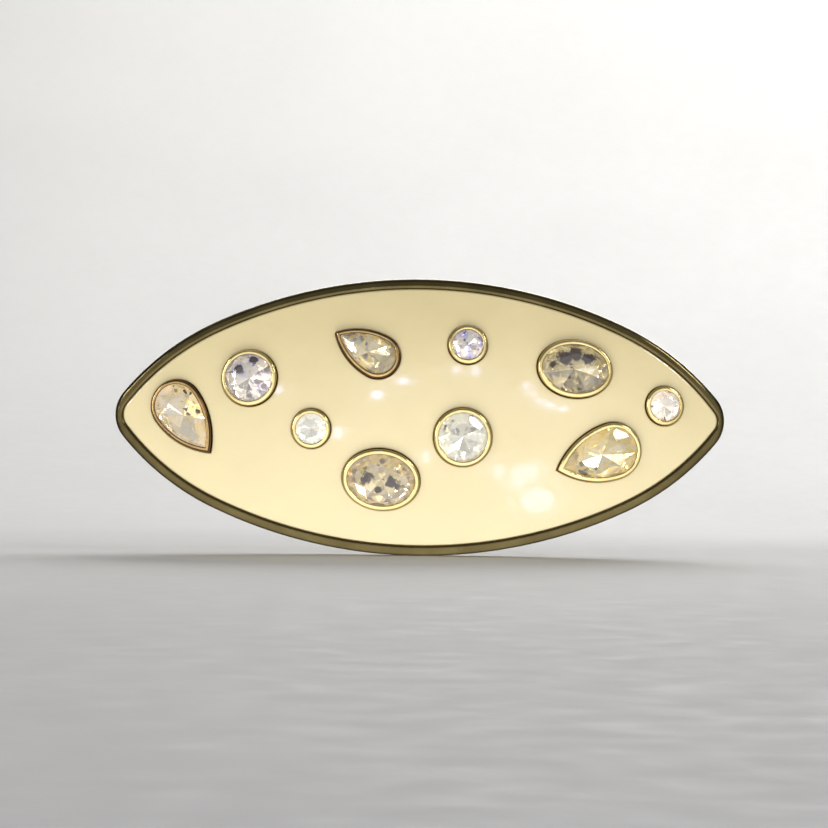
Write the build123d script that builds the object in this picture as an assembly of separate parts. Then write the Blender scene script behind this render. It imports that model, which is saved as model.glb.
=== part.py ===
from build123d import *
import os
from math import asin, atan2, cos, hypot, radians, sin, sqrt

# Rhinestone hair clip: a marquise tray filled with cream enamel and set with ten faceted stones,
# on a spring barrette clip.
# Everything is modelled face up (face to +Z, long axis X), then turned to stand as it is worn:
# X along the clip, Y from the face to the back, Z up. The origin is the middle of the hair gap,
# half way between the bar and the closed arm.

# ---- driving dimensions (mm, degrees) ----
LENGTH = 76.0            # tray, tip to tip
WIDTH = 34.3             # tray, across the middle
SIDE_RADIUS = 60.8       # long side arc
SIDE_ANGLE = 25.0        # half angle of the long side arc
TIP_RADIUS = 4.3         # rounded tip
DOME_ALONG = 150.0       # crown radius along the clip
DOME_ACROSS = 60.0       # crown radius across the clip

RIM = 1.25               # rim width
LEFT_INNER_TIP = 2.2     # radius of the enamel's left tip
RIGHT_INNER_TIP = 1.8    # radius of the enamel's right tip
RIM_OUTER_ROUND = 0.55
RIM_INNER_ROUND = 0.3
ENAMEL_DEPTH = 0.3       # enamel surface below the rim crown
FLOOR_DEPTH = 2.0        # tray floor below the rim crown
TRAY_DEPTH = 2.9         # tray back below the rim crown
LAND_DEPTH = 3.1         # face of the raised land that carries the bar
LAND_MARGIN = 0.4        # land round the bar's outline
LAND_ROOT = 0.45         # how far the land runs into the tray's floor
ENAMEL_EDGE_ROUND = 0.3
FIT = 0.01               # bonded faces
CUP_FIT = 0.07           # enamel to cup
POCKET_ROUND = 0.15      # enamel's edge round a cup

BEZEL_LIP = 0.12         # how far the lip reaches over the stone
BEZEL_LIP_HEIGHT = 0.24
BEZEL_ROUND = 0.32       # outer edge of the lip
LIP_ROUND = 0.14         # inner edge of the lip
LIP_CLEAR = 0.16         # lip over the stone's crown
SEAT_WIDTH = 0.35        # ledge under the stone's edge
SEAT_DEPTH = 0.45        # ledge below the girdle
STONE_FIT = 0.03
CULET_CLEAR = 0.15
GIRDLE = 0.12            # height of a stone's straight edge
TABLE_SHARE = 0.56       # table size against the stone's outline
MAIN_FACETS = 8
UPPER_STEEPER = 1.25     # slope of the upper girdle facets against the mains
STAR_SLOPE = 17.0
PEAR_TABLE_SHIFT = 0.22  # table centre from the head centre, against the tip length

BAR_LENGTH = 60.0
BAR_WIDTH = 8.5
BAR_THICK = 0.8
BAR_CORNER = 1.6
SHEET_ROUND = 0.12       # tumbled edges of the steel sheets
HAIR_GAP = 7.0           # bar to closed arm
STRIP_THICK = 0.8        # clasp arm
ARM_WIDTH = 6.0
HEAD_LENGTH = 7.4
HEAD_WIDTH = 9.6
HEAD_CORNER = 1.8
HEAD_SHIFT = 0.3         # head centre past the window
WINDOW_LENGTH = 3.6
WINDOW_WIDTH = 6.6
HINGE_X = -26.2          # places along the clip are measured on the bar
EYE_RADIUS = 1.3
PIN_RADIUS = 0.6
PIN_FIT = 0.02
EYE_FIT = 0.05
PIN_HEAD_RADIUS = 0.95
PIN_HEAD = 0.35
HEAD_ROUND_SHARE = 0.75  # rounding of a pin or rivet head against its height
EAR_LENGTH = 4.8
EAR_END_RADIUS = 1.9

BOW_HALF = 24.2          # half length of the tension bow
BOW_WIDTH = 5.0
BOW_THICK = 0.4
BOW_RISE = 2.2
BRIDGE_X = 23.3
BRIDGE_LENGTH = 1.3
BRIDGE_POST = 0.5
BRIDGE_GAP = 0.75
BRIDGE_THICK = 0.4
BRIDGE_SIDE_GAP = 0.2    # post to bow
BRIDGE_ROOT = 0.2        # how far the posts run into the bar

RIVET_X = 15.0
RIVET_RADIUS = 1.0
RIVET_HEAD_RADIUS = 1.7
RIVET_HEAD = 0.5
RIVET_REACH = 0.7        # hole inside the tray
RIVET_END_GAP = 0.05

CATCH_X = 27.4
CATCH_LENGTH = 2.8
CATCH_THICK = 0.5
LEG_Y = 2.6              # middle of the leg's sheet
LEG_BEND = 0.3           # bend line below the bar
BEND_GAP = 0.07
BARB_CLEAR = 0.25
BARB_REACH = 0.85
BARB_HEIGHT = 1.4
BARB_SLANT = 0.1         # drop of the barb's shoulder, and stand-off of its lower bend
TIP_FLARE = 0.55
TIP_HEIGHT = 1.5
CATCH_RIVET_RADIUS = 0.7
CATCH_RIVET_HEAD = 1.2
CATCH_RIVET_DOME = 0.35

PAVILION_SHARE = 0.39    # pavilion depth against the stone's half width
CROWN_SHARE = 0.26

# Stones: name, outline, place of the middle or head (x, y), turn, size inside the bezel,
# bezel wall, and how far the bezel stands out of the enamel. size is (radius,) when round,
# (half length, half width) when oval, (head radius, head centre to tip) when pear.
STONES = (
    ("left_pear", "pear", (-30.25, 1.05), -52.6, (2.83, 6.6), 0.42, 0.6),
    ("left_large", "round", (-21.15, 4.6), 12.0, (3.05,), 0.42, 0.7),
    ("left_small", "round", (-13.4, -1.6), 0.0, (2.0,), 0.42, 0.55),
    ("top_pear", "pear", (-5.25, 7.4), 151.0, (2.33, 5.5), 0.42, 0.55),
    ("top_small", "round", (5.8, 9.0), 20.0, (2.0,), 0.42, 0.55),
    ("low_oval", "oval", (-4.7, -7.8), -6.0, (4.3, 3.3), 0.48, 0.65),
    ("centre_large", "round", (5.3, -2.45), 5.0, (3.15,), 0.42, 0.7),
    ("right_oval", "oval", (19.1, 6.2), -5.0, (4.25, 3.15), 0.45, 0.65),
    ("right_pear", "pear", (24.0, -3.9), 199.3, (3.05, 6.85), 0.44, 0.65),
    ("right_small", "round", (30.4, 1.8), 30.0, (2.0,), 0.42, 0.55),
)

REACH = 30.0             # taller than anything that is cut
DOME_SPAN = 36.0         # sector angle of the domed and curved layers
LAYER_HALF = 0.62 * WIDTH
THROUGH = 4.0            # longer than a hole through any sheet
ON_SURFACE = 0.02        # tolerance for picking the edges of a layer


# ---- outlines ----
def arc_about(centre, start, end):
    """The shorter arc about a centre, between two points at the same distance from it."""
    centre, start, end = Vector(*centre), Vector(*start), Vector(*end)
    towards = ((start - centre).normalized() + (end - centre).normalized()).normalized()
    return ThreePointArc(start, centre + towards * (start - centre).length, end)


def shoulder():
    """Centre and radius of the arc that joins the long side arc to the tip arc."""
    ux, uy = sin(radians(SIDE_ANGLE)), cos(radians(SIDE_ANGLE))
    start = (SIDE_RADIUS * ux, WIDTH / 2 - SIDE_RADIUS * (1 - uy))
    qx, qy = start[0] - (LENGTH / 2 - TIP_RADIUS), start[1]
    radius = (qx * qx + qy * qy - TIP_RADIUS**2) / (2 * (qx * ux + qy * uy - TIP_RADIUS))
    return (start[0] - radius * ux, start[1] - radius * uy), radius


def half_marquise(inset, tip_radius, side):
    """Edges of the tray outline for one end, moved in by inset; side is 1 right, -1 left."""
    (cx, cy), radius = shoulder()
    long_radius, radius = SIDE_RADIUS - inset, radius - inset
    long_centre = WIDTH / 2 - SIDE_RADIUS
    ux, uy = sin(radians(SIDE_ANGLE)), cos(radians(SIDE_ANGLE))
    join = (long_radius * ux, long_centre + long_radius * uy)
    tip_x = cx + sqrt((radius - tip_radius) ** 2 - cy**2)
    reach = radius / (radius - tip_radius)
    turn = (cx + (tip_x - cx) * reach, cy - cy * reach)

    def at(point, up):
        return (side * point[0], up * point[1])

    edges = [arc_about(at((tip_x, 0), 1), at(turn, 1), at(turn, -1))]
    for up in (1, -1):
        edges.append(arc_about(at((0, long_centre), up), at((0, long_centre + long_radius), up),
                               at(join, up)))
        edges.append(arc_about(at((cx, cy), up), at(join, up), at(turn, up)))
    return edges


def marquise(inset, left_tip, right_tip):
    edges = half_marquise(inset, right_tip, 1) + half_marquise(inset, left_tip, -1)
    return Face(Wire(edges))


def pear(radius, tip, grow):
    """Pear face with its head about the origin and its tip on +X, moved out by grow."""
    flank = (tip * tip / radius + radius) / 2
    drop = flank - radius
    flank, radius = flank + grow, radius + grow
    point = (sqrt(flank**2 - drop**2), 0)
    head = ThreePointArc((0, radius), (-radius, 0), (0, -radius))
    upper = arc_about((0, -drop), point, (0, radius))
    lower = arc_about((0, drop), (0, -radius), point)
    return Face(Wire([upper, head, lower]))


def stone_outline(kind, size, grow=0.0):
    if kind == "pear":
        return pear(*size, grow)
    if kind == "oval":
        return make_face(Ellipse(size[0] + grow, size[1] + grow).edges())
    return make_face(Circle(size[0] + grow).edges())


def prism(face, low, high):
    return Pos(0, 0, low) * extrude(face, high - low, dir=(0, 0, 1))


# ---- domed and curved layers ----
def clip_axis():
    return Axis((0, 0, -DOME_ALONG), (0, 1, 0))


def swept_sector(section):
    """A section in the YZ plane carried along the clip's length about the dome's axis."""
    start = section.rotate(clip_axis(), -DOME_SPAN / 2)
    return revolve(start, clip_axis(), DOME_SPAN)


def fall(y, depth):
    """How far the dome's cross section, a parabola, falls away at a distance from its middle."""
    return y * y / (2 * (DOME_ACROSS - depth))


def dome(depth):
    """Everything under the domed face surface that lies a given depth below the rim crown."""
    half = LAYER_HALF
    edge = -depth - fall(half, depth)
    top = Bezier((0, -half, edge), (0, 0, -depth + fall(half, depth)), (0, half, edge))
    rest = Polyline((0, half, edge), (0, half, -REACH), (0, -half, -REACH), (0, -half, edge))
    return swept_sector(Face(Wire([top, *rest.edges()])))


def band(top, bottom):
    """A plain curved layer between two depths, straight across the clip."""
    half = LAYER_HALF
    corners = Polyline((0, -half, -top), (0, half, -top), (0, half, -bottom), (0, -half, -bottom),
                       close=True)
    return swept_sector(Face(Wire(corners.edges())))


def on_dome(point, depth):
    """True if a point lies on the domed surface at a depth."""
    height = hypot(point.X, point.Z + DOME_ALONG) - DOME_ALONG
    return abs(height + depth + fall(point.Y, depth)) < ON_SURFACE


def edges_at_depth(solid, depth):
    return [e for e in solid.edges() if all(on_dome(e @ u, depth) for u in (0.0, 0.5, 1.0))]


def edges_of_band(solid, depth):
    """Edges that lie on a plain curved layer's surface at a depth."""
    def on_band(point):
        return abs(hypot(point.X, point.Z + DOME_ALONG) - DOME_ALONG + depth) < ON_SURFACE

    return [e for e in solid.edges() if all(on_band(e @ u) for u in (0.0, 0.5, 1.0))]


def strip(plan, top, bottom):
    """A sheet between two curved layers, cut to a plan, with its edges rounded."""
    sheet = (prism(plan, -REACH, 0) & band(top, bottom)).solid()
    rims = edges_of_band(sheet, top) + edges_of_band(sheet, bottom)
    return fillet(rims, SHEET_ROUND)


def dome_plane(x, y, depth):
    """Plane that touches the dome at a depth, above a point of the face."""
    ring = DOME_ALONG - fall(y, 0)
    along = asin(x / ring)
    lean = y / DOME_ACROSS
    normal = Vector(sin(along), lean, cos(along)).normalized()
    surface = Vector(ring * sin(along), y, ring * cos(along) - DOME_ALONG)
    return Plane(surface - normal * depth, x_dir=(cos(along), 0, -sin(along)), z_dir=normal)


BAR_TOP = LAND_DEPTH + FIT
BAR_UNDER = BAR_TOP + BAR_THICK
ARM_TOP = BAR_UNDER + HAIR_GAP
ARM_UNDER = ARM_TOP + STRIP_THICK
PIN_DEPTH = ARM_UNDER - EYE_RADIUS
GAP_MIDDLE = BAR_UNDER + HAIR_GAP / 2


def bar_frame(x, depth):
    """Location on the curved clip layers, square to the bar at x: X along the clip, Z outwards."""
    along = asin(x / (DOME_ALONG - BAR_UNDER))
    outwards = Vector(sin(along), 0, cos(along))
    origin = outwards * (DOME_ALONG - depth) - Vector(0, 0, DOME_ALONG)
    return Plane(origin, x_dir=(cos(along), 0, -sin(along)), z_dir=outwards).location


# ---- tray and enamel ----
def frame_tray():
    outer = marquise(0, TIP_RADIUS, TIP_RADIUS)
    inner = marquise(RIM, LEFT_INNER_TIP, RIGHT_INNER_TIP)
    shell = prism(outer, -REACH / 2, REACH / 4) & dome(0)
    shell -= dome(TRAY_DEPTH)
    shell = fillet(edges_at_depth(shell, 0), RIM_OUTER_ROUND)
    shell -= prism(inner, -REACH / 2, REACH / 4) - dome(FLOOR_DEPTH)
    shell = fillet(edges_at_depth(shell, 0), RIM_INNER_ROUND)
    land = prism(bar_plan(LAND_MARGIN), -REACH / 2, 0) & band(FLOOR_DEPTH + LAND_ROOT, LAND_DEPTH)
    shell += land
    for x in (-RIVET_X, RIVET_X):
        shell -= bar_frame(x, LAND_DEPTH) * Pos(0, 0, RIVET_REACH / 2) * Cylinder(
            RIVET_RADIUS + FIT, RIVET_REACH)
    return shell.solid()


def enamel_face():
    inner = marquise(RIM + FIT, LEFT_INNER_TIP - FIT, RIGHT_INNER_TIP - FIT)
    fill = prism(inner, -REACH / 2, REACH / 4) & dome(ENAMEL_DEPTH)
    fill -= dome(FLOOR_DEPTH - FIT)
    fill = fillet(edges_at_depth(fill, ENAMEL_DEPTH), ENAMEL_EDGE_ROUND)
    for name, kind, place, turn, size, wall, stand in STONES:
        outline = stone_outline(kind, size, wall + CUP_FIT)
        fill = pocketed(fill, stone_place(place, turn) * prism(outline, -REACH / 4, REACH / 4))
    return fill.solid()


def pocketed(fill, pocket):
    """Cuts one pocket through the enamel and rounds the edge it leaves in the face."""
    known = {round(edge.length, 4) for edge in edges_at_depth(fill, ENAMEL_DEPTH)}
    fill -= pocket
    rims = [e for e in edges_at_depth(fill, ENAMEL_DEPTH) if round(e.length, 4) not in known]
    return fillet(rims, POCKET_ROUND)


# ---- stones and cups ----
def stone_place(place, turn):
    """Location on the enamel surface, turned about the surface normal."""
    return dome_plane(*place, ENAMEL_DEPTH).location * Rot(Z=turn)


def crown_height(size):
    return CROWN_SHARE * min(size)


def pavilion_depth(size):
    return PAVILION_SHARE * min(size)


def lip_height(size):
    """Height of the lip's underside over the girdle's top."""
    return LIP_CLEAR + BEZEL_LIP * crown_height(size) / (min(size) * (1 - TABLE_SHARE))


def girdle_top(size, stand):
    """Height of a stone's girdle over the enamel, under a bezel that stands out by stand."""
    return stand - BEZEL_LIP_HEIGHT - lip_height(size)


def reach_of(kind, size, turn):
    """Distance from the facet centre to the outline's tangent that faces a direction."""
    across, along = abs(sin(turn)), cos(turn)
    if kind == "round":
        return size[0]
    if kind == "oval":
        return hypot(size[0] * along, size[1] * across)
    flank = (size[1] ** 2 / size[0] + size[0]) / 2
    drop = flank - size[0]
    shift = facet_centre(kind, size)
    if along <= 0:
        return size[0] - shift * along
    if flank * along < size[1]:
        return flank - drop * across - shift * along
    return (size[1] - shift) * along


def facet_centre(kind, size):
    """How far a stone's table centre sits from its outline's origin."""
    return PEAR_TABLE_SHIFT * size[1] if kind == "pear" else 0.0


def facet(solid, turn, out, up, slope):
    """Keeps what lies under a sloped plane through a point out from the centre at a height."""
    normal = (cos(turn) * sin(slope), sin(turn) * sin(slope), cos(slope))
    plane = Plane((out * cos(turn), out * sin(turn), up), z_dir=normal)
    return split(solid, plane, keep=Keep.BOTTOM)


def stone(kind, size, height):
    """A faceted stone whose girdle top lies at a height over the enamel."""
    count = MAIN_FACETS
    crown, pavilion = crown_height(size), pavilion_depth(size)
    shift = Pos(facet_centre(kind, size), 0, height)
    blank = shift.inverse() * prism(stone_outline(kind, size), height - REACH / 4, height + crown)
    step = radians(360 / count)
    for i in range(count):
        turn = i * step
        half = turn + step / 2
        main, star = reach_of(kind, size, turn), reach_of(kind, size, half)
        main_slope = atan2(crown, main * (1 - TABLE_SHARE))
        blank = facet(blank, turn, main, 0, main_slope)
        star_out = star * TABLE_SHARE * cos(step / 2)
        blank = facet(blank, half, star_out, crown, radians(STAR_SLOPE))
        blank = lower_facet(blank, turn, main, pavilion)
        for side in (-step / 4, step / 4):
            near = reach_of(kind, size, turn + side)
            upper_slope = atan2(crown, near * (1 - TABLE_SHARE)) * UPPER_STEEPER
            blank = facet(blank, turn + side, near, 0, upper_slope)
    return (shift * blank).solid()


def lower_facet(solid, turn, out, pavilion):
    """Keeps what lies over a plane from the girdle's lower edge down to the culet."""
    slope = atan2(pavilion, out)
    normal = (cos(turn) * sin(slope), sin(turn) * sin(slope), -cos(slope))
    plane = Plane((0, 0, -GIRDLE - pavilion), z_dir=normal)
    return split(solid, plane, keep=Keep.BOTTOM)


def cup(kind, place, turn, size, wall, stand):
    """Bezel cup: stands on the tray floor, holds the stone on a ledge, and laps over its edge."""
    girdle = girdle_top(size, stand)
    seat = girdle - GIRDLE - SEAT_DEPTH
    lip = girdle + lip_height(size)
    well = girdle - GIRDLE - pavilion_depth(size) - CULET_CLEAR
    body = prism(stone_outline(kind, size, wall), -REACH / 8, stand)
    body -= prism(stone_outline(kind, size, -BEZEL_LIP), lip, stand + 1)
    body = fillet(body.faces().sort_by(Axis.Z)[-1].outer_wire().edges(), BEZEL_ROUND)
    body = fillet(body.faces().sort_by(Axis.Z)[-1].inner_wires()[0].edges(), LIP_ROUND)
    body -= prism(stone_outline(kind, size, STONE_FIT), seat, lip)
    body -= prism(stone_outline(kind, size, -SEAT_WIDTH), well, seat)
    placed = stone_place(place, turn) * body
    return (placed - dome(FLOOR_DEPTH - FIT)).solid()


# ---- clip ----
def bar_plan(grow=0.0):
    return make_face(RectangleRounded(BAR_LENGTH + 2 * grow, BAR_WIDTH + 2 * grow,
                                      BAR_CORNER + grow).edges())


def ear():
    """Side plate of the hinge, in the frame of the pin: tapers from the bar to round the pin."""
    top = PIN_DEPTH - BAR_UNDER + BAR_THICK / 2
    foot = Pos(0, top - BAR_THICK / 2) * Rectangle(EAR_LENGTH, BAR_THICK)
    outline = make_hull([*Circle(EAR_END_RADIUS).edges(), *foot.edges()])
    return Rot(X=90) * extrude(outline, BAR_THICK / 2, both=True)


def bridge():
    """Keeper loop struck down from the bar, under which an end of the bow slides."""
    wide = BOW_WIDTH + 2 * (BRIDGE_POST + BRIDGE_SIDE_GAP)
    tall = BRIDGE_GAP + BRIDGE_THICK + BRIDGE_ROOT
    loop = Pos(0, 0, BRIDGE_ROOT - tall / 2) * Box(BRIDGE_LENGTH, wide, tall)
    hole = Pos(0, 0, -BRIDGE_GAP / 2) * Box(BRIDGE_LENGTH * 2, wide - 2 * BRIDGE_POST, BRIDGE_GAP)
    return loop - hole


def base_bar():
    bar = strip(bar_plan(), BAR_TOP, BAR_UNDER)
    for side in (-1, 1):
        tongue = Pos(0, side * (BAR_WIDTH - BAR_THICK) / 2, 0) * ear()
        bar += bar_frame(HINGE_X, PIN_DEPTH) * tongue
        bar += bar_frame(side * BRIDGE_X, BAR_UNDER) * bridge()
        bar -= bar_frame(side * RIVET_X, BAR_UNDER) * Cylinder(RIVET_RADIUS + FIT, THROUGH)
    bar -= bar_frame(HINGE_X, PIN_DEPTH) * Rot(X=90) * Cylinder(PIN_RADIUS + PIN_FIT, 2 * BAR_WIDTH)
    bar -= bar_frame(CATCH_X, BAR_UNDER) * Cylinder(CATCH_RIVET_RADIUS + FIT, THROUGH)
    return bar.solid()


def bow_arc(depth):
    """Arc along the bow at a depth under the bow's upper face."""
    end = bar_frame(BOW_HALF, BAR_UNDER).position
    low = -BAR_UNDER - BOW_RISE - depth
    down = FIT + depth
    return ThreePointArc((-BOW_HALF, 0, end.Z - down), (0, 0, low), (BOW_HALF, 0, end.Z - down))


def tension_bow():
    upper, lower = bow_arc(0), bow_arc(BOW_THICK)
    ends = [Line(upper @ 1, lower @ 1), Line(lower @ 0, upper @ 0)]
    face = Face(Wire([upper, ends[0], lower, ends[1]]))
    return extrude(face, BOW_WIDTH / 2, dir=(0, 1, 0), both=True).solid()


def hinge_pin():
    pin = Cylinder(PIN_RADIUS, BAR_WIDTH + 2 * PIN_FIT)
    for side in (-1, 1):
        pin += Pos(0, 0, side * (BAR_WIDTH + PIN_HEAD + 2 * PIN_FIT) / 2) * Cylinder(
            PIN_HEAD_RADIUS, PIN_HEAD)
    rims = pin.edges().filter_by(GeomType.CIRCLE).sort_by(Axis.Z)
    pin = fillet([rims[0], rims[-1]], PIN_HEAD * HEAD_ROUND_SHARE)
    return (bar_frame(HINGE_X, PIN_DEPTH) * Rot(X=90) * pin).solid()


def clasp_arm():
    """The swinging arm: a curved strip with a rolled eye at one end, a window at the other."""
    hinge = bar_frame(HINGE_X, PIN_DEPTH)
    catch = bar_frame(CATCH_X, ARM_TOP)
    start, end = hinge.position.X, catch.position.X
    plan = Pos((start + end) / 2, 0) * Rectangle(end - start, ARM_WIDTH)
    plan += Pos(end + HEAD_SHIFT, 0) * RectangleRounded(HEAD_LENGTH, HEAD_WIDTH, HEAD_CORNER)
    arm = strip(plan, ARM_TOP, ARM_UNDER)
    arm += hinge * Rot(X=90) * Cylinder(EYE_RADIUS, ARM_WIDTH)
    arm -= hinge * Rot(X=90) * Cylinder(PIN_RADIUS + EYE_FIT, 2 * ARM_WIDTH)
    arm -= catch * Box(WINDOW_LENGTH, WINDOW_WIDTH, 4 * STRIP_THICK)
    return arm.solid()


def catch_base():
    wide = 2 * (LEG_Y - CATCH_THICK / 2 - BEND_GAP)
    plate = Pos(0, 0, -LEG_BEND) * Box(CATCH_LENGTH, wide, CATCH_THICK)
    plate -= Cylinder(CATCH_RIVET_RADIUS + FIT, THROUGH)
    return (bar_frame(CATCH_X, BAR_UNDER) * plate).solid()


def catch_leg(side):
    """One springy leg of the catch: down through the arm's window, a barb, a finger tip."""
    barb = -(HAIR_GAP + STRIP_THICK + BARB_CLEAR + CATCH_THICK / 2)
    line = Polyline((LEG_Y, -LEG_BEND), (LEG_Y, barb), (LEG_Y + BARB_REACH, barb - BARB_SLANT),
                    (LEG_Y + BARB_SLANT, barb - BARB_HEIGHT),
                    (LEG_Y + TIP_FLARE, barb - BARB_HEIGHT - TIP_HEIGHT))
    sheet = trace(line, CATCH_THICK)
    leg = extrude(sheet, CATCH_LENGTH / 2, both=True)
    upright = Plane((0, 0, 0), x_dir=(0, side, 0), z_dir=(side, 0, 0)).location
    return (bar_frame(CATCH_X, BAR_UNDER) * upright * leg).solid()


def rivet(x):
    """Rivet from under the bar into the tray's back."""
    deep = BAR_UNDER - LAND_DEPTH + RIVET_REACH - RIVET_END_GAP
    shank = Pos(0, 0, deep / 2) * Cylinder(RIVET_RADIUS, deep)
    head = Pos(0, 0, -RIVET_HEAD / 2 - FIT) * Cylinder(RIVET_HEAD_RADIUS, RIVET_HEAD)
    head = fillet(head.edges().sort_by(Axis.Z)[0], RIVET_HEAD * HEAD_ROUND_SHARE)
    neck = Cylinder(RIVET_RADIUS, 4 * FIT)
    return (bar_frame(x, BAR_UNDER) * (shank + neck + head)).solid()


def catch_rivet():
    """Rivet that holds the catch to the bar, flush under the tray's land."""
    low = LEG_BEND + CATCH_THICK / 2 + FIT
    shank = Pos(0, 0, (BAR_THICK - low) / 2) * Cylinder(CATCH_RIVET_RADIUS, BAR_THICK + low)
    head = Pos(0, 0, -low - CATCH_RIVET_DOME / 2) * Cylinder(CATCH_RIVET_HEAD, CATCH_RIVET_DOME)
    head = fillet(head.edges().sort_by(Axis.Z)[0], CATCH_RIVET_DOME * HEAD_ROUND_SHARE)
    return (bar_frame(CATCH_X, BAR_UNDER) * (shank + head)).solid()


# ---- build and export ----
def save(name, solid):
    """Turns a piece to its worn place about the middle of the hair gap, and writes it."""
    export_step(Rot(X=90) * Pos(0, 0, GAP_MIDDLE) * solid, f"parts/{name}.step")


os.makedirs("parts", exist_ok=True)
save("frame_tray", frame_tray())
save("enamel_face", enamel_face())
for name, kind, place, turn, size, wall, stand in STONES:
    save(f"cup_{name}", cup(kind, place, turn, size, wall, stand))
    held = stone(kind, size, girdle_top(size, stand))
    save(f"stone_{name}", stone_place(place, turn) * held)
save("base_bar", base_bar())
save("tension_bow", tension_bow())
save("hinge_pin", hinge_pin())
save("clasp_arm", clasp_arm())
save("catch_base", catch_base())
save("catch_leg_upper", catch_leg(1))
save("catch_leg_lower", catch_leg(-1))
save("catch_rivet", catch_rivet())
save("tray_rivet_hinge_end", rivet(-RIVET_X))
save("tray_rivet_catch_end", rivet(RIVET_X))
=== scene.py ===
import math
import random

import bpy
from mathutils import Matrix, Vector


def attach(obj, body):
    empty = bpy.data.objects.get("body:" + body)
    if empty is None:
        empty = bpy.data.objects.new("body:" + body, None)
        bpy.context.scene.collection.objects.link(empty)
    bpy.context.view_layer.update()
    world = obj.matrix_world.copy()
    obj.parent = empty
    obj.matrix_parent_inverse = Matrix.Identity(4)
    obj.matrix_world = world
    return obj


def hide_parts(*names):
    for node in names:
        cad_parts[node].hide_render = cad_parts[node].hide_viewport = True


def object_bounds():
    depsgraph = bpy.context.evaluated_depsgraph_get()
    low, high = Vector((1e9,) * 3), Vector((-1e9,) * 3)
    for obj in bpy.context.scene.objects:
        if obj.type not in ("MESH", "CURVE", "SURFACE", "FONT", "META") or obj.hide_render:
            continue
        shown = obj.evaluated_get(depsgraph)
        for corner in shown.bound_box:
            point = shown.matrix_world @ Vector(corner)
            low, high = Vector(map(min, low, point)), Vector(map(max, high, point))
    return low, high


MM = 0.001

# ---- camera ----
CAMERA_DISTANCE = 300 * MM
CAMERA_BELOW = math.radians(1.5)     # the camera looks up at the face by this much
CAMERA_ROLL = math.radians(0.7)
FRAME_WIDTH = 101.35 * MM             # what the picture spans at the face
AIM = (-0.73 * MM, 0.30 * MM)        # picture centre on the face: along X, along Z
SENSOR = 36.0

# ---- light ----
SKY_BRIGHTNESS = 2.2
SKY_MIDDLE = (0, -0.80, -0.60)       # direction of the brightest sky
SKY_SHADES = ((0.05, 0.09), (0.45, 0.29), (0.78, 0.80), (0.96, 1.0))     # cosine from it, grey
SKY_TINT = (1, 0.985, 0.95)
WHITE, WARM_WHITE, PINK_WHITE = (1, 1, 1), (1, 0.98, 0.95), (1, 0.99, 0.99)
DOME_ALONG, DOME_ACROSS = 150 * MM, 60 * MM      # radii of the enamel's face
GLINT_DISTANCE = 420 * MM
GLINT_COLOUR = (0.45, 0.52, 1.0)
# reflections in the enamel: place on the face (x, z) in mm, lamp's width and height in mm, and
# its power in watts per square metre
GLINTS = (
    (12.8, -6.8, 26, 42, 10),
    (9.8, -6.4, 10, 30, 14),
    (14.2, -5.9, 12, 24, 7),
    (11.8, -8.1, 16, 22, 8),
    (14.6, -10.1, 30, 50, 12),
    (13.0, -10.2, 5, 18, 12),
    (16.2, -6.1, 3, 8, 16),
    (-17.5, 3.2, 8, 18, 50),
    (-9.9, -2.1, 7, 24, 36),
    (-5.2, 2.6, 10, 16, 52),
    (-2.1, 4.3, 9, 14, 44),
    (4.3, 5.8, 5, 14, 52),
    (6.7, 5.6, 6, 20, 36),
    (0.8, -4.9, 4, 26, 34),
    (12.9, 3.9, 5, 20, 34),
    (13.6, 2.9, 6, 12, 34),
    (14.6, 2.1, 8, 12, 34),
    (15.9, 1.6, 10, 9, 34),
    (17.4, 1.2, 12, 8, 34),
)

# ---- stones ----
LILAC, BLUE, GREY = (0.80, 0.78, 0.95), (0.58, 0.60, 1.0), (0.62, 0.60, 0.58)
STRAW, OLIVE = (1.0, 0.88, 0.50), (0.74, 0.66, 0.42)
# name: body tint, second tint, strength of the foil's painted glow (light given out in place of light
# the glass keeps and gives back), and dark patches in the foil as (x, z, radius) in mm
STONES = {
    "left_pear": ((1.0, 0.83, 0.53), STRAW, 0.24, ()),
    "left_large": ((0.98, 0.90, 0.76), LILAC, 0.15, ((-20.6, 6.6, 0.7), (-22.3, 5.6, 0.6))),
    "left_small": ((1.0, 0.98, 0.88), (1.0, 0.93, 0.80), 0.28, ()),
    "top_pear": ((0.92, 0.76, 0.38), GREY, 0.15, ()),
    "top_small": ((1.0, 0.90, 0.80), BLUE, 0.15, ()),
    "low_oval": ((1.0, 0.84, 0.58), STRAW, 0.16,
                 ((-6.4, -7.6, 1.0), (-3.5, -8.2, 1.1), (-5.1, -9.0, 0.6))),
    "centre_large": ((0.96, 0.93, 0.76), GREY, 0.25, ()),
    "right_oval": ((0.94, 0.80, 0.46), OLIVE, 0.15,
                   ((17.8, 7.4, 1.0), (19.2, 7.7, 1.2), (20.6, 7.3, 0.9), (16.5, 6.6, 0.5))),
    "right_pear": ((1.0, 0.81, 0.36), STRAW, 0.18, ()),
    "right_small": ((1.0, 0.90, 0.76), (1.0, 0.84, 0.74), 0.28, ()),
}
# two cups get a darker gold, with the painted side shade over nearly all of them
DARKER_CUPS = ("left_pear", "top_pear")
STEEL_NODES = ("base_bar", "clasp_arm", "catch_base", "catch_leg_upper", "catch_leg_lower")
PIN_NODES = ("hinge_pin", "catch_rivet", "tray_rivet_hinge_end", "tray_rivet_catch_end")
CULET_LIFT = 0.13                    # against the stone's whole height
CULET_BAND = 0.05                    # lowest share of the height, which holds the point alone
FACET_SHARE, CELL_SHARE = 0.45, 0.55     # of the foil's tone: by facet, and by small patch
PALE_SHARE = 0.45                    # how far the foil's palest tone goes from its body tint to white
FOIL_DARK = (0.13, 0.105, 0.11)
FOIL_CELLS, SPOT_CELLS = 2200, 1400      # patches per metre
SPOT_RAGGED, SPOT_CORE, SPOT_RIM = 0.5, 0.75, 1.7        # against a dark patch's radius
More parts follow.
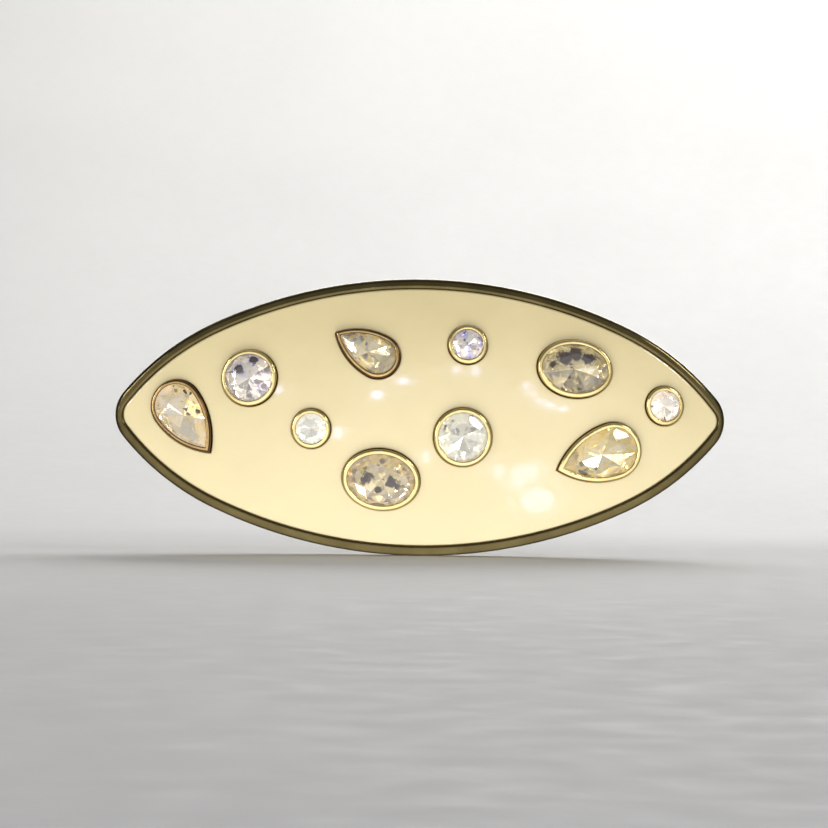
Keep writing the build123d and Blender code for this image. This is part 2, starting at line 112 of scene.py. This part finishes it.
NOISE_LOW, NOISE_HIGH = 0.3, 0.7     # what most of a noise texture's values lie between


# ---- shader helpers ----
class Shader:
    """A node tree with a Principled surface and short calls for the nodes that feed it."""

    def __init__(self, name):
        self.material = bpy.data.materials.new(name)
        self.material.use_nodes = True
        self.tree = self.material.node_tree
        self.surface = self.tree.nodes["Principled BSDF"]
        self.place = self.tree.nodes.new("ShaderNodeTexCoord").outputs["Object"]

    def set(self, **sockets):
        for name, value in sockets.items():
            self.surface.inputs[name.replace("_", " ")].default_value = value

    def link(self, source, socket):
        self.tree.links.new(source, self.surface.inputs[socket])

    def stretched(self, scale):
        """Object coordinates scaled by a vector, so that grain can run one way."""
        node = self.tree.nodes.new("ShaderNodeMapping")
        node.inputs["Scale"].default_value = scale
        self.tree.links.new(self.place, node.inputs["Vector"])
        return node.outputs["Vector"]

    def noise(self, scale, detail=4.0, roughness=0.55, place=None, distortion=0.0):
        node = self.tree.nodes.new("ShaderNodeTexNoise")
        node.inputs["Scale"].default_value = scale
        node.inputs["Detail"].default_value = detail
        node.inputs["Roughness"].default_value = roughness
        node.inputs["Distortion"].default_value = distortion
        self.tree.links.new(place or self.place, node.inputs["Vector"])
        return node.outputs["Fac"]

    def ramp(self, source, *stops):
        """Colours or greys at positions from 0 to 1."""
        node = self.tree.nodes.new("ShaderNodeValToRGB")
        marks = node.color_ramp.elements
        while len(marks) < len(stops):
            marks.new(0.5)
        for mark, (position, colour) in zip(marks, stops):
            mark.position = position
            mark.color = (*colour, 1) if hasattr(colour, "__len__") else (colour, colour, colour, 1)
        self.tree.links.new(source, node.inputs["Fac"])
        return node.outputs["Color"]

    def span(self, source, low, high):
        """Noise carried to a range."""
        node = self.tree.nodes.new("ShaderNodeMapRange")
        node.inputs["From Min"].default_value = NOISE_LOW
        node.inputs["From Max"].default_value = NOISE_HIGH
        node.inputs["To Min"].default_value = low
        node.inputs["To Max"].default_value = high
        self.tree.links.new(source, node.inputs["Value"])
        return node.outputs["Result"]

    def cells(self, scale):
        """A random grey for each small flat patch, like the play of light in a cut stone."""
        node = self.tree.nodes.new("ShaderNodeTexVoronoi")
        node.inputs["Scale"].default_value = scale
        self.tree.links.new(self.place, node.inputs["Vector"])
        split = self.tree.nodes.new("ShaderNodeSeparateColor")
        self.tree.links.new(node.outputs["Color"], split.inputs["Color"])
        return split.outputs["Red"]

    def facing(self):
        """1 where the surface faces the back, -1 where it faces the front, 0 on the sides."""
        node = self.tree.nodes.new("ShaderNodeVectorMath")
        node.operation = "DOT_PRODUCT"
        node.inputs[1].default_value = (0, 1, 0)
        normal = self.tree.nodes.new("ShaderNodeNewGeometry").outputs["Normal"]
        self.tree.links.new(normal, node.inputs[0])
        return node.outputs["Value"]

    def size(self, source):
        """The value without its sign."""
        node = self.tree.nodes.new("ShaderNodeMath")
        node.operation = "ABSOLUTE"
        self.tree.links.new(source, node.inputs[0])
        return node.outputs[0]

    def blend(self, share, first, second):
        """The first colour at share 0, the second at share 1; the first may be a plain colour."""
        node = self.tree.nodes.new("ShaderNodeMix")
        node.data_type = "RGBA"
        self.tree.links.new(share, node.inputs["Factor"])
        colours = [i for i in node.inputs if i.type == "RGBA"]
        if isinstance(first, tuple):
            colours[0].default_value = (*first, 1)
        else:
            self.tree.links.new(first, colours[0])
        self.tree.links.new(second, colours[1])
        return [o for o in node.outputs if o.type == "RGBA"][0]

    def outside(self, spots):
        """0 inside any of the spots, 1 outside them, with ragged edges."""
        result = None
        for x, z, radius in spots:
            squash = self.tree.nodes.new("ShaderNodeVectorMath")
            squash.operation = "MULTIPLY"
            squash.inputs[1].default_value = (1, 0, 1)
            self.tree.links.new(self.place, squash.inputs[0])
            away = self.tree.nodes.new("ShaderNodeVectorMath")
            away.operation = "DISTANCE"
            away.inputs[1].default_value = (x * MM, 0, z * MM)
            self.tree.links.new(squash.outputs["Vector"], away.inputs[0])
            ragged = self.add(away.outputs["Value"], self.cells(SPOT_CELLS), radius * MM * SPOT_RAGGED)
            edge = self.tree.nodes.new("ShaderNodeMapRange")
            edge.inputs["From Min"].default_value = radius * MM * SPOT_CORE
            edge.inputs["From Max"].default_value = radius * MM * SPOT_RIM
            self.tree.links.new(ragged, edge.inputs["Value"])
            result = self.times(result, edge.outputs["Result"]) if result else edge.outputs["Result"]
        return result

    def times(self, first, second):
        node = self.tree.nodes.new("ShaderNodeMath")
        node.operation = "MULTIPLY"
        self.tree.links.new(first, node.inputs[0])
        self.tree.links.new(second, node.inputs[1])
        return node.outputs[0]

    def add(self, first, second, share):
        """The first value plus a share of the second."""
        node = self.tree.nodes.new("ShaderNodeMath")
        node.operation = "MULTIPLY_ADD"
        self.tree.links.new(second, node.inputs[0])
        node.inputs[1].default_value = share
        self.tree.links.new(first, node.inputs[2])
        return node.outputs[0]

    def bump(self, height, distance, strength=1.0):
        node = self.tree.nodes.new("ShaderNodeBump")
        node.inputs["Strength"].default_value = strength
        node.inputs["Distance"].default_value = distance
        self.tree.links.new(height, node.inputs["Height"])
        self.link(node.outputs["Normal"], "Normal")


def gold(name, dark, light, painted_side_shade, painted_shade_from):
    """Polished gold plate: cloudy polish, hairline scratches, and painted shade, a darker colour, on what
    faces sideways.
    """
    s = Shader(name)
    s.set(Metallic=1.0)
    plate = s.ramp(s.add(s.noise(240, 5), s.noise(2400, 3), 0.25), (0.35, dark), (0.85, light))
    facing = s.add(s.size(s.facing()), s.noise(1800, 4), 0.1)
    # painted shade: faces turned sideways get the darker colour, for dark outlines at the edges
    unshaded_share = s.ramp(facing, (painted_shade_from, 0.0), (painted_shade_from + 0.12, 1.0))
    s.link(s.blend(unshaded_share, painted_side_shade, plate), "Base Color")
    s.link(s.span(s.noise(900, 6), 0.09, 0.22), "Roughness")
    scratches = s.noise(1, 8, 0.7, s.stretched((400, 2600, 5200)), 0.6)
    s.bump(s.add(s.noise(420, 3), scratches, 0.35), 0.00002, 0.5)
    return s.material


def tray_gold():
    """The cast tray: rim with a painted dark reflection, sides darker still with painted shade, and a satin
    back with a fine cast grain.
    """
    s = Shader("gold_tray")
    s.set(Metallic=1.0)
    cloud = s.add(s.noise(240, 5), s.noise(2400, 3), 0.25)
    # painted dark reflection: the rim's front is darkened far below plain gold; the back keeps a plain gold
    rim_painted_dark = s.ramp(cloud, (0.35, (0.07, 0.055, 0.023)), (0.85, (0.115, 0.092, 0.039)))
    back = s.ramp(cloud, (0.35, (0.47, 0.355, 0.14)), (0.85, (0.62, 0.48, 0.21)))
    facing = s.facing()
    front = s.add(s.size(facing), s.noise(1800, 4), 0.1)
    # painted shade: the sideways walls, the inner wall by the enamel too, get a darker colour still
    sides = s.blend(s.ramp(front, (0.58, 0.0), (0.70, 1.0)), (0.07, 0.052, 0.02), rim_painted_dark)
    is_back = s.ramp(facing, (0.55, 0.0), (0.75, 1.0))
    s.link(s.blend(is_back, sides, back), "Base Color")
    grain = s.noise(5200, 3)
    s.link(s.add(s.span(s.noise(900, 6), 0.10, 0.22), s.times(grain, is_back), 0.42), "Roughness")
    s.bump(s.add(s.noise(420, 3), s.times(grain, is_back), 0.6), 0.00002, 0.6)
    return s.material


def steel(name, dark, light, rough_low, rough_high, grain):
    """Nickel-plated strip with a fine grain along its length and soft stains."""
    s = Shader(name)
    s.set(Metallic=1.0)
    s.link(s.ramp(s.noise(180, 6), (0.3, dark), (0.7, light)), "Base Color")
    lines = s.noise(1, 7, 0.65, s.stretched((260, 4200, 4200)))
    s.link(s.span(s.add(lines, s.noise(240, 4), 0.4), rough_low, rough_high), "Roughness")
    s.bump(lines, 0.00002, grain)
    return s.material


def cream_enamel():
    """Poured cream enamel under a clear coat: faint clouding, a slow ripple and fine dimples."""
    s = Shader("cream_enamel")
    s.set(Subsurface_Weight=0.12, Subsurface_Scale=0.0012, IOR=1.52,
          Coat_Weight=1.0, Coat_Roughness=0.065, Coat_IOR=1.5)
    cloud = s.noise(70, 5)
    s.link(s.ramp(cloud, (0.3, (0.452, 0.381, 0.203)), (0.7, (0.488, 0.414, 0.228))), "Base Color")
    s.link(s.span(s.noise(600, 5), 0.10, 0.2), "Roughness")
    ripple = s.add(s.noise(130, 3), s.noise(520, 2), 0.15)
    s.bump(s.add(ripple, s.noise(1500, 3), 0.02), 0.00012, 1.0)
    return s.material


def crystal():
    """Clear cut glass with the faintest grey-lilac bloom on its polish."""
    s = Shader("crystal")
    s.set(Transmission_Weight=1.0, IOR=1.56)
    s.link(s.ramp(s.noise(500, 3), (0.3, (0.97, 0.97, 1.0)), (0.7, (1.0, 0.99, 0.98))), "Base Color")
    s.link(s.span(s.noise(1400, 3), 0.0, 0.025), "Roughness")
    return s.material


def foil(name, body, second, painted_glow, spots):
    """Silver foil on the back of a stone: each facet and each patch of it has its own tone, and it glows in
    that tone as painted light.
    """
    s = Shader(f"foil_{name}")
    # painted glow: the foil gives out its own tint as light, standing in for light trapped in the glass
    s.set(Metallic=0.88, Emission_Strength=painted_glow)
    facet = s.tree.nodes.new("ShaderNodeAttribute")
    facet.attribute_name = "facet_tone"
    tone = s.add(facet.outputs["Fac"], s.cells(FOIL_CELLS), CELL_SHARE)
    if spots:
        tone = s.times(tone, s.outside(spots))
    pale = tuple(part + PALE_SHARE * (1 - part) for part in body)
    tint = s.ramp(tone, (0.02, FOIL_DARK), (0.14, second), (0.38, body), (0.60, pale))
    s.link(tint, "Base Color")
    # painted glow: the same tint feeds the emission
    s.link(tint, "Emission Color")
    s.link(s.span(s.noise(1600, 4), 0.02, 0.08), "Roughness")
    s.bump(s.noise(900, 2), 0.00002, 0.5)
    return s.material


# ---- pieces ----
def paint(frame, nodes, material):
    """Gives CAD nodes a material."""
    for name in nodes:
        data = frame["nodes"][name].data
        data.materials.clear()
        data.materials.append(material)


def tone_facets(name, data):
    """Gives each flat facet its share of the foil's tone in a face attribute."""
    rng = random.Random(name)
    tones = {}
    layer = data.attributes.new("facet_tone", "FLOAT", "FACE")
    for face in data.polygons:
        normal = tuple(round(part, 2) for part in face.normal)
        if normal not in tones:
            tones[normal] = FACET_SHARE * rng.random()
        layer.data[face.index].value = tones[normal]


def raise_culet(data):
    """Lifts the point under the stone, so that its foil throws more light back to the front."""
    table = max((face for face in data.polygons if face.normal.y < 0), key=lambda face: face.area)
    up = table.normal.copy()
    heights = [vertex.co.dot(up) for vertex in data.vertices]
    low, high = min(heights), max(heights)
    for vertex, height in zip(data.vertices, heights):
        if height < low + CULET_BAND * (high - low):
            vertex.co += up * CULET_LIFT * (high - low)


def backed_stone(frame, name, glass):
    """The faceted stone again, with glass on its crown and foil on its pavilion."""
    node = frame["nodes"][f"stone_{name}"]
    data = node.data.copy()
    data.materials.clear()
    data.materials.append(glass)
    data.materials.append(foil(name, *STONES[name]))
    for face in data.polygons:
        face.material_index = 0 if face.normal.y < 0 else 1
    tone_facets(name, data)
    raise_culet(data)
    piece = bpy.data.objects.new(f"crystal_{name}", data)
    bpy.context.scene.collection.objects.link(piece)
    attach(piece, "root")
    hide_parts(f"stone_{name}")


# ---- studio ----
def backdrop(floor_z):
    """Pale seamless sweep: flat floor that curves up into a wall behind the object."""
    near, far, tall, bend, half, steps = -1.2, 0.5, 1.4, 0.35, 1.6, 24
    profile = [(near, 0.0), (far - bend, 0.0)]
    for i in range(1, steps + 1):
        turn = i / steps * math.pi / 2
        profile.append((far - bend + bend * math.sin(turn), bend * (1 - math.cos(turn))))
    profile.append((far, tall))
    points = [(x, y, floor_z + z) for x in (-half, half) for y, z in profile]
    row = len(profile)
    faces = [(i, i + 1, row + i + 1, row + i) for i in range(row - 1)]
    mesh = bpy.data.meshes.new("backdrop")
    mesh.from_pydata(points, [], faces)
    mesh.polygons.foreach_set("use_smooth", [True] * len(faces))
    s = Shader("backdrop_paper")
    s.link(s.ramp(s.noise(9, 4), (0.3, (0.44, 0.437, 0.43)), (0.7, (0.47, 0.467, 0.46))), "Base Color")
    s.link(s.span(s.noise(300, 5), 0.75, 0.95), "Roughness")
    s.bump(s.noise(900, 4), 0.0001, 0.3)
    mesh.materials.append(s.material)
    sweep = bpy.data.objects.new("backdrop", mesh)
    bpy.context.scene.collection.objects.link(sweep)
    # the lower lights and the lower sky reach the object through it
    sweep.visible_shadow = sweep.visible_diffuse = sweep.visible_glossy = False


def soft_light(name, place, target, size, watts, colour=WHITE, reflected=True):
    """Oval lamp that faces a point; all in metres."""
    lamp = bpy.data.lights.new(name, "AREA")
    lamp.shape = "ELLIPSE"
    lamp.size, lamp.size_y = size
    lamp.energy = watts
    lamp.color = colour
    light = bpy.data.objects.new(name, lamp)
    light.visible_glossy = reflected
    light.location = place
    light.rotation_euler = (Vector(target) - Vector(place)).to_track_quat("-Z", "Y").to_euler()
    bpy.context.scene.collection.objects.link(light)


def glint_light(name, x, z, size, power):
    """Small lamp whose reflection lies at (x, z) on the domed enamel, seen from the front."""
    point = Vector((x, 0, z))
    normal = Vector((x / DOME_ALONG, -1, z / DOME_ACROSS)).normalized()
    eye = Vector((AIM[0], -CAMERA_DISTANCE, AIM[1] - CAMERA_DISTANCE * math.sin(CAMERA_BELOW)))
    view = (eye - point).normalized()
    mirrored = 2 * view.dot(normal) * normal - view
    watts = power * size[0] * size[1]
    soft_light(name, point + mirrored * GLINT_DISTANCE, point, size, watts, GLINT_COLOUR)


def sky():
    """Soft pale light, brightest low in front of the face and falling off to the sides and above."""
    world = bpy.data.worlds.new("studio")
    world.use_nodes = True
    tree = world.node_tree
    towards_front = tree.nodes.new("ShaderNodeVectorMath")
    towards_front.operation = "DOT_PRODUCT"
    towards_front.inputs[1].default_value = SKY_MIDDLE
    tree.links.new(tree.nodes.new("ShaderNodeTexCoord").outputs["Generated"], towards_front.inputs[0])
    ramp = tree.nodes.new("ShaderNodeValToRGB")
    marks = ramp.color_ramp.elements
    while len(marks) < len(SKY_SHADES):
        marks.new(0.5)
    for mark, (share, grey) in zip(marks, SKY_SHADES):
        mark.position, mark.color = share, (*(grey * part for part in SKY_TINT), 1)
    tree.links.new(towards_front.outputs["Value"], ramp.inputs["Fac"])
    background = tree.nodes["Background"]
    tree.links.new(ramp.outputs["Color"], background.inputs["Color"])
    background.inputs["Strength"].default_value = SKY_BRIGHTNESS
    bpy.context.scene.world = world


def studio():
    """Pale sky, two side lights, the glints, and lights from below, above and behind."""
    sky()
    bpy.context.scene.view_settings.view_transform = "Standard"
    soft_light("left_light", (-0.42, -0.34, 0.12), (0, 0, 0), (0.10, 0.30), 0.8, WARM_WHITE)
    soft_light("right_light", (0.40, -0.30, 0.30), (0, 0, 0), (0.08, 0.20), 0.6)
    for number, (x, z, wide, tall, power) in enumerate(GLINTS):
        glint_light(f"glint_light_{number}", x * MM, z * MM, (wide * MM, tall * MM), power)
    soft_light("low_fill", (0.0, -0.25, -0.30), (0, 0, -0.01), (0.5, 0.3), 1.3, PINK_WHITE, reflected=False)
    soft_light("top_light", (0.0, 0.30, 0.8), (0, 0.1, 0), (1.4, 0.5), 2.2)
    soft_light("rear_light", (0.12, 0.44, 0.30), (0, 0, 0), (0.6, 0.3), 3.0)
    soft_light("rear_low_light", (0.15, 0.5, -0.12), (0, 0, 0), (1.0, 0.35), 0.8)


def camera(face_y):
    """Looks square at the face, a little from below, with the picture's centre at AIM on it."""
    data = bpy.data.cameras.new("camera")
    data.sensor_width = SENSOR
    data.lens = SENSOR * CAMERA_DISTANCE / FRAME_WIDTH
    data.clip_start, data.clip_end = 0.01, 20
    aim = Vector((AIM[0], face_y, AIM[1]))
    back = Vector((0, -math.cos(CAMERA_BELOW), -math.sin(CAMERA_BELOW)))
    view = bpy.data.objects.new("camera", data)
    turn = (-back).to_track_quat("-Z", "Y").to_matrix() @ Matrix.Rotation(CAMERA_ROLL, 3, "Z")
    view.matrix_world = Matrix.Translation(aim + back * CAMERA_DISTANCE) @ turn.to_4x4()
    bpy.context.scene.collection.objects.link(view)
    bpy.context.scene.camera = view


# ---- build ----
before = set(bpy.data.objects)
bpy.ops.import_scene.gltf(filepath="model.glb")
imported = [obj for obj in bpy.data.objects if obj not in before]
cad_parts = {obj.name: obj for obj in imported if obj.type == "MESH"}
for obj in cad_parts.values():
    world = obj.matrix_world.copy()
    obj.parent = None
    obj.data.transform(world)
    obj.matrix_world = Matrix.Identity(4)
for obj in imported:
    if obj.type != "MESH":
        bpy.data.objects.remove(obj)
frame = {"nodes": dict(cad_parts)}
cad_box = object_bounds()

paint(frame, ["frame_tray"], tray_gold())
# the last two values: the painted side shade's colour, and the facing below which it covers the surface
bright = gold("gold_bezel", (0.52, 0.41, 0.17), (0.74, 0.62, 0.32), (0.42, 0.30, 0.11), 0.48)
# darker gold, and painted side shade reaching nearly every face that is not square to the front
darker_gold = gold("gold_bezel_darker", (0.24, 0.155, 0.065), (0.46, 0.34, 0.15), (0.12, 0.055, 0.02), 0.92)
paint(frame, [f"cup_{name}" for name in STONES if name not in DARKER_CUPS], bright)
paint(frame, [f"cup_{name}" for name in DARKER_CUPS], darker_gold)
paint(frame, ["enamel_face"], cream_enamel())
paint(frame, STEEL_NODES, steel("clip_steel", (0.38, 0.370, 0.349), (0.54, 0.527, 0.502), 0.16, 0.34, 0.5))
paint(frame, ["tension_bow"], steel("spring_steel", (0.30, 0.30, 0.31), (0.42, 0.42, 0.43), 0.20, 0.38, 0.4))
paint(frame, PIN_NODES, steel("pin_steel", (0.44, 0.43, 0.41), (0.60, 0.59, 0.565), 0.12, 0.28, 0.3))

glass = crystal()
for name in STONES:
    backed_stone(frame, name, glass)

backdrop(cad_box[0][2])
studio()
camera(cad_box[0][1])
